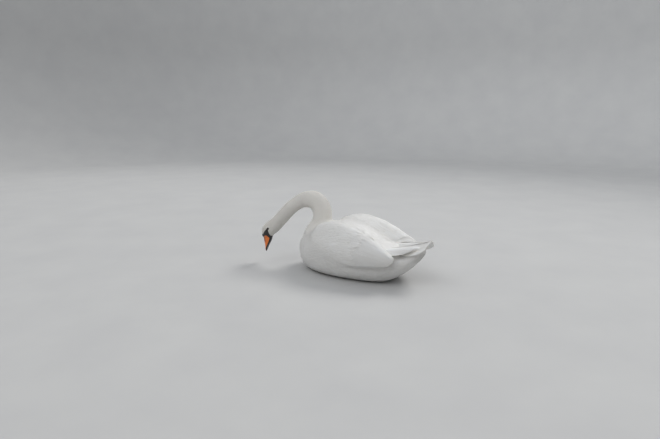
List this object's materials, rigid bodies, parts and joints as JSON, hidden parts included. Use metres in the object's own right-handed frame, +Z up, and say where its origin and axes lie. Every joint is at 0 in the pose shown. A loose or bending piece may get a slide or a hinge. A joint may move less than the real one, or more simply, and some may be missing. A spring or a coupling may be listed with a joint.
{
  "type": "mute swan, life-size still model",
  "caption": "Life-size adult mute swan lying at rest, neck arched over and bill held down, wings folded with a valley between them, white plumage, orange and black bill.",
  "frame": {"origin": "the middle of the belly's resting flat, on the floor", "axes": "+Y points to the tail and -Y ahead, the swan's left side is towards +X, and +Z is up"},
  "size_m": [0.3938, 0.8887, 0.376],
  "materials": {
    "plumage": "matte, soft",
    "flight_feathers": "satin",
    "bill_horn": "satin",
    "bare_black_skin": "satin",
    "eye": "polished",
    "foot_skin": "matte"
  },
  "bodies": {
    "root": {"trunk": "plumage", "neck_lower": "plumage", "neck_middle": "plumage", "neck_upper": "plumage", "head": "plumage", "wing_left": "plumage", "wing_right": "plumage", "tertials_left": "flight_feathers", "tertials_right": "flight_feathers", "primaries_left": "flight_feathers", "primaries_right": "flight_feathers", "tail": "flight_feathers", "bill_upper": "bill_horn", "bill_lower": "bill_horn", "bill_nail": "bare_black_skin", "bill_knob": "bare_black_skin", "eye_left": "eye", "eye_right": "eye", "leg_left": "foot_skin", "leg_right": "foot_skin", "foot_left": "foot_skin", "foot_right": "foot_skin"}
  },
  "joints": []
}
